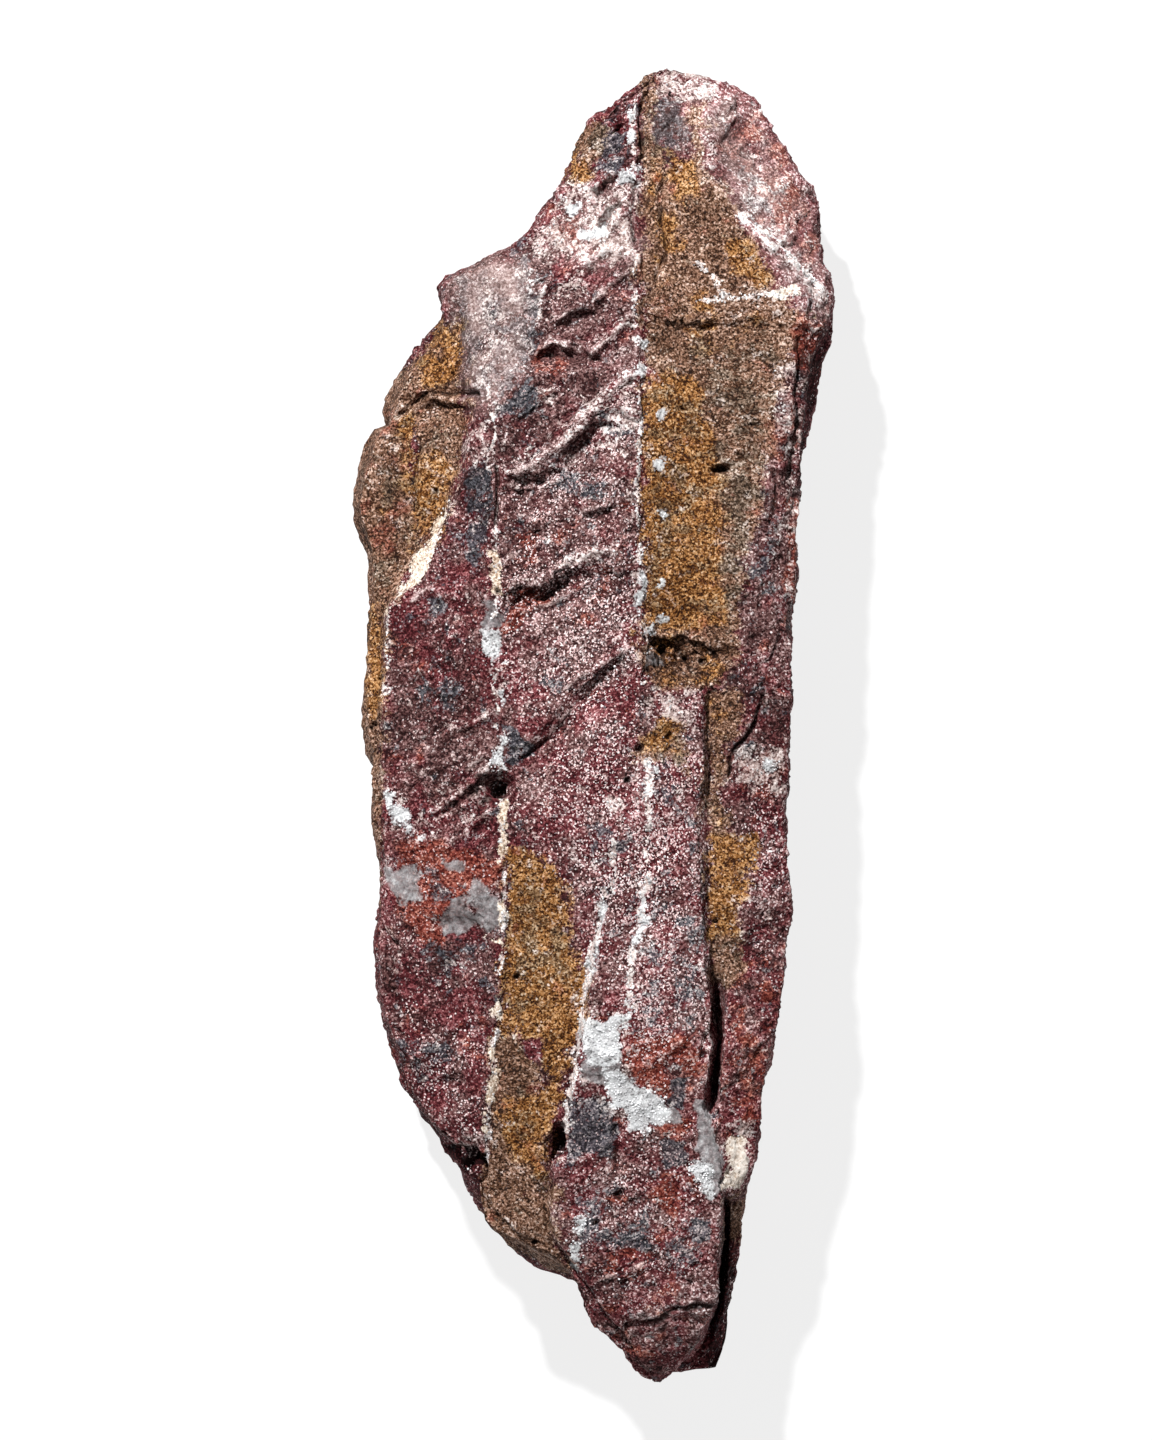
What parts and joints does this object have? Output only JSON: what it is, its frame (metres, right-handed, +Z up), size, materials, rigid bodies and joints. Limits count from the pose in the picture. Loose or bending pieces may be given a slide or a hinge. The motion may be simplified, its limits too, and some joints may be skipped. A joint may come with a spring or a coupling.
{
  "type": "red jasper stone",
  "caption": "Rough piece of banded red jasper, long and narrow, with quartz seams, lying on its flat back.",
  "frame": {"origin": "under the middle of the stone's bounding box, on the plane that it rests on", "axes": "+Z up, out of the banded face; +Y along the stone to its rounded end; +X across it, to the right when looking at the face with the rounded end at the top"},
  "size_m": [0.0682, 0.1846, 0.0346],
  "materials": {
    "stone": "rough broken stone with a fine sparkle"
  },
  "bodies": {
    "root": {"red_jasper": "stone"}
  },
  "joints": []
}
